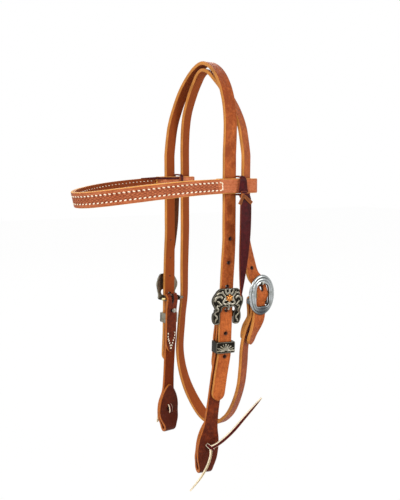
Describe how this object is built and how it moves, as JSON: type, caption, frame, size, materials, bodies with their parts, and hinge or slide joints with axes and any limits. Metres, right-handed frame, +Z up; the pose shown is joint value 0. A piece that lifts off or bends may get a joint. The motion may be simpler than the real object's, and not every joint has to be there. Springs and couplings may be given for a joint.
{
  "type": "western headstall",
  "caption": "Leather headstall with a browband held by laces, buckled cheek straps with sliding keepers, folded bit ends and an oval throatlatch buckle.",
  "frame": {"origin": "underside of the crown strap at the top of its arch, where it lies on the poll", "axes": "+Z up, -X towards the nose, -Y towards the near (left) side"},
  "size_m": [0.221, 0.1815, 0.4964],
  "materials": {
    "russet_leather": "smooth oiled harness leather",
    "tan_leather": "tooled and stitched bridle leather",
    "oiled_leather": "dark oiled leather",
    "latigo_leather": "burgundy latigo",
    "antiqued_silver": "engraved silver, dark in the recesses",
    "nickel_steel": "nickel plate",
    "copper": "polished copper"
  },
  "bodies": {
    "headstall": {"crown_strap": "russet_leather", "throatlatch_strap": "russet_leather", "near_cheek_strap": "oiled_leather", "off_cheek_strap": "oiled_leather", "near_cheek_buckle": "antiqued_silver", "off_cheek_buckle": "antiqued_silver", "near_buckle_flower": "copper", "off_buckle_flower": "copper", "near_chape_rivet": "nickel_steel", "off_chape_rivet": "nickel_steel", "near_bit_lace": "latigo_leather", "off_bit_lace": "latigo_leather", "throat_buckle": "antiqued_silver"},
    "browband": {"browband_front": "tan_leather", "browband_lining": "russet_leather", "near_tie": "latigo_leather", "off_tie": "latigo_leather"},
    "near_tie_tail": {"near_tie_tail": "latigo_leather"},
    "off_tie_tail": {"off_tie_tail": "latigo_leather"},
    "near_keeper": {"near_cheek_keeper": "antiqued_silver"},
    "off_keeper": {"off_cheek_keeper": "antiqued_silver"},
    "near_tongue": {"near_cheek_tongue": "nickel_steel"},
    "off_tongue": {"off_cheek_tongue": "nickel_steel"},
    "throat_tongue": {"throat_tongue": "nickel_steel"}
  },
  "joints": [
    {"name": "browband_slide", "type": "slide", "parent": "headstall", "child": "browband", "axis": [0, 0, 1], "range_m": [-0.04, 0.02]},
    {"name": "near_tail_swing", "type": "hinge", "parent": "browband", "child": "near_tie_tail", "pos_m": [0.0011, -0.08605, -0.15074], "axis": [-1, 0, 0], "range_deg": [0, 60]},
    {"name": "off_tail_swing", "type": "hinge", "parent": "browband", "child": "off_tie_tail", "pos_m": [-0.0015, 0.08605, -0.15074], "axis": [1, 0, 0], "range_deg": [0, 60]},
    {"name": "near_keeper_slide", "type": "slide", "parent": "headstall", "child": "near_keeper", "axis": [0.0347, -0.0037, 0.9994], "range_m": [0, 0.008]},
    {"name": "off_keeper_slide", "type": "slide", "parent": "headstall", "child": "off_keeper", "axis": [0.0259, 0.0036, 0.9997], "range_m": [-0.008, 0]},
    {"name": "near_tongue_hinge", "type": "hinge", "parent": "headstall", "child": "near_tongue", "pos_m": [-0.01402, -0.0622, -0.2906], "axis": [0.9939, -0.1045, -0.0349], "range_deg": [0, 5]},
    {"name": "off_tongue_hinge", "type": "hinge", "parent": "headstall", "child": "off_tongue", "pos_m": [-0.014, 0.06224, -0.2949], "axis": [-0.9899, -0.1391, 0.0262], "range_deg": [0, 5]},
    {"name": "throat_tongue_hinge", "type": "hinge", "parent": "headstall", "child": "throat_tongue", "pos_m": [0.03051, -0.06411, -0.2805], "axis": [0.9986, 0.0523, 0], "range_deg": [0, 5]}
  ]
}
